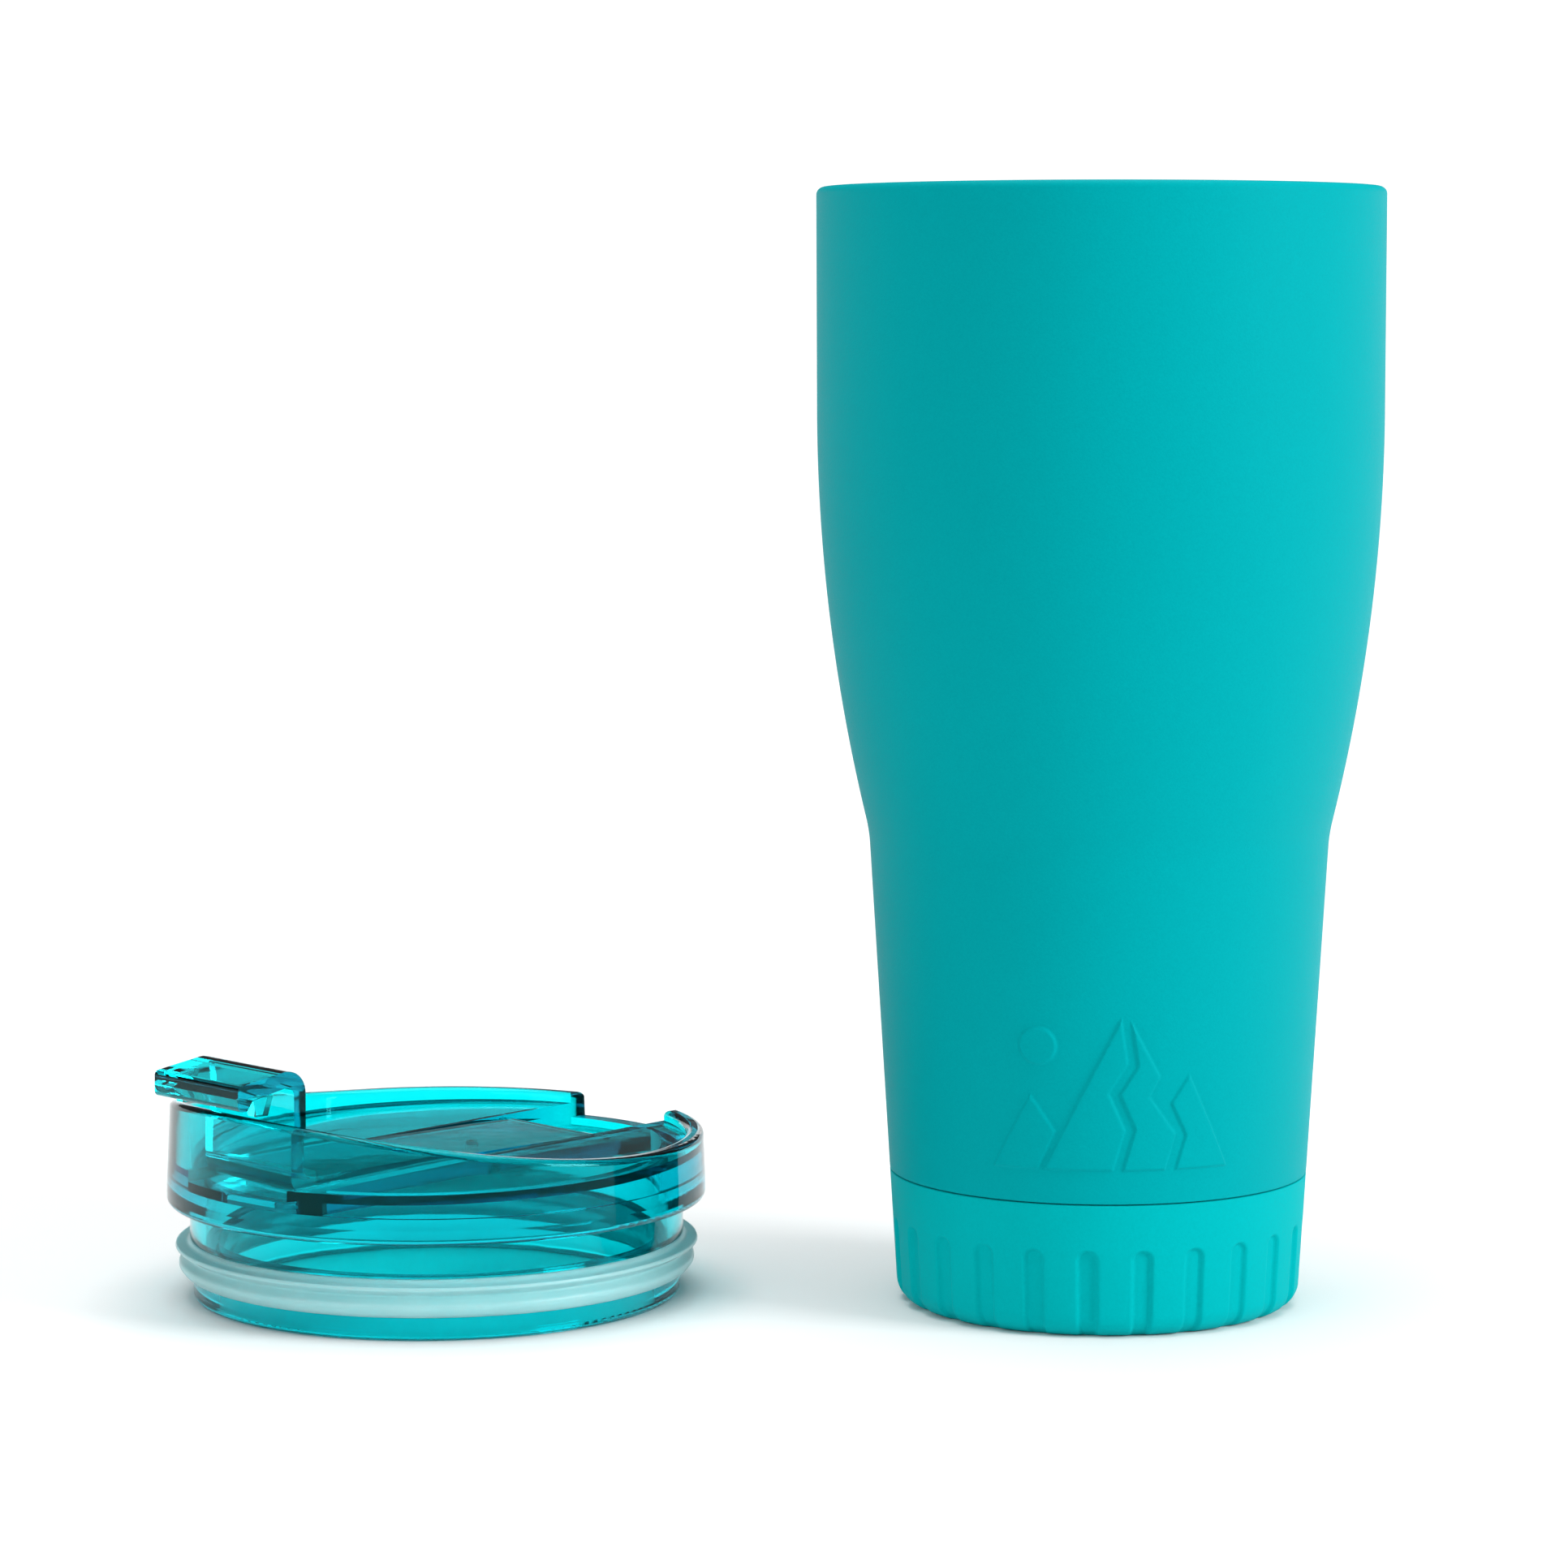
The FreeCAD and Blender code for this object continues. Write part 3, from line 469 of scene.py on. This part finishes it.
def rounded_loop(points, passes=3):
    """Cuts the corners of a closed loop again and again, so that it turns softly."""
    for _ in range(passes):
        rounder = []
        for (ax, ay), (bx, by) in zip(points, points[1:] + points[:1]):
            rounder.append((ax * 0.8 + bx * 0.2, ay * 0.8 + by * 0.2))
            rounder.append((ax * 0.2 + bx * 0.8, ay * 0.2 + by * 0.8))
        points = rounder
    return points


def make_gasket():
    """Gasket ring: rounded rib below, thin flared lip above, a little uneven as soft silicone is."""
    low, high, core = GASKET_LOW, GASKET_HIGH, GASKET_CORE
    loop = [(core, low), (43.9, low), (45.2, 4.6), (46.3, 5.9), (46.3, 6.8), (45.2, 7.7), (44.9, 8.2),
            (46.3, 9.0), (46.95, 9.35), (46.8, 9.95), (46.0, 9.95), (44.8, 10.1), (44.2, high), (core, high)]

    def uneven(radius, height, angle):
        flare = np.clip((radius - GASKET_LAND) / GASKET_FLARE, 0, 1)
        wave = np.sin(3 * angle + GASKET_WAVE_TURN) * np.cos(angle)
        return radius - flare * (GASKET_WAVE + GASKET_WAVE * wave)

    angles = np.linspace(0, 2 * math.pi, 360, endpoint=False)
    piece = turned_mesh("gasket_ring", rounded_loop(loop), angles, uneven)
    piece.data.transform(lid_place())
    piece.data.materials.append(GASKET)
    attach(piece, "lid")
    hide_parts("lid_gasket")


def lid_place():
    """Where the lid's own axes stand in the frame."""
    return Matrix.Translation((LID_X * MM, LID_Y * MM, 0)) @ Matrix.Rotation(LID_TURN, 4, "Z")


make_shell()
make_boot()
make_gasket()


# ---------------------------------------------------------------- stage, light, camera

def make_floor():
    """Plain pale round floor that reaches further in front of the cup than behind it."""
    radius, forward, sides = 0.75, 0.25, 96
    mesh = bpy.data.meshes.new("floor")
    turns = [2 * math.pi * side / sides for side in range(sides)]
    mesh.from_pydata([(radius * math.cos(turn), radius * math.sin(turn) - forward, 0) for turn in turns], [],
                     [list(range(sides))])
    floor = bpy.data.objects.new("floor", mesh)
    bpy.context.scene.collection.objects.link(floor)
    material, _, shader = new_material("floor_white")
    shader.inputs["Base Color"].default_value = (0.93, 0.93, 0.93, 1)
    shader.inputs["Roughness"].default_value = 0.9
    shader.inputs["Specular IOR Level"].default_value = 0.1
    mesh.materials.append(material)


def world_level(tree, source, low, high, from_value, to_value):
    """A smooth change of a direction's component into a level."""
    node = tree.nodes.new("ShaderNodeMapRange")
    node.interpolation_type = "SMOOTHSTEP"
    node.inputs["From Min"].default_value = low
    node.inputs["From Max"].default_value = high
    node.inputs["To Min"].default_value = from_value
    node.inputs["To Max"].default_value = to_value
    tree.links.new(source, node.inputs["Value"])
    return node.outputs["Result"]


def make_world():
    """White studio: a white wall behind that ends a little above the horizon, dim above, bright overhead."""
    world = bpy.data.worlds.new("studio")
    world.use_nodes = True
    bpy.context.scene.world = world
    tree = world.node_tree
    background = next(item for item in tree.nodes if item.type == "BACKGROUND")
    place = tree.nodes.new("ShaderNodeTexCoord")
    split = tree.nodes.new("ShaderNodeSeparateXYZ")
    tree.links.new(place.outputs["Generated"], split.inputs["Vector"])
    back = world_level(tree, split.outputs["Y"], -0.3, 0.4, 0.0, 1.0)
    below = world_level(tree, split.outputs["Z"], 0.115, 0.18, 0.76, -0.26)
    above = world_level(tree, split.outputs["Z"], 0.5, 0.85, 0.35, 0.8)
    wall = tree.nodes.new("ShaderNodeMath")
    wall.operation = "MULTIPLY_ADD"
    tree.links.new(back, wall.inputs[0])
    tree.links.new(below, wall.inputs[1])
    tree.links.new(above, wall.inputs[2])
    tree.links.new(wall.outputs["Value"], background.inputs["Strength"])
    background.inputs["Color"].default_value = (1, 1, 1, 1)


def make_light(name, place, target, size, power):
    """A square soft light aimed at a point."""
    data = bpy.data.lights.new(name, "AREA")
    data.shape = "RECTANGLE"
    data.size, data.size_y = size
    data.energy = power
    light = bpy.data.objects.new(name, data)
    light.location = place
    light.rotation_euler = (Vector(target) - Vector(place)).to_track_quat("-Z", "Y").to_euler()
    bpy.context.scene.collection.objects.link(light)


def make_camera():
    """Long lens a little below the rim's height, looking slightly down, with its picture shifted down."""
    data = bpy.data.cameras.new("camera")
    data.sensor_width = 36
    data.lens = 109.3
    data.shift_y = -0.15
    data.clip_end = 50
    camera = bpy.data.objects.new("camera", data)
    camera.location = CAMERA_PLACE
    camera.rotation_euler = (math.radians(90) - CAMERA_DOWN, 0, 0)
    bpy.context.scene.collection.objects.link(camera)
    bpy.context.scene.camera = camera


make_floor()
make_world()
make_light("key", (1.2, -0.55, 0.55), (-0.02, 0, 0.08), (0.6, 0.6), 16)
make_light("fill", (-1.0, -1.0, 0.45), (-0.05, 0, 0.05), (0.9, 0.9), 5.2)
make_light("top", (-0.05, 0.1, 1.5), (-0.05, 0, 0), (1.2, 1.2), 15)
make_camera()
bpy.context.scene.view_settings.view_transform = "Standard"
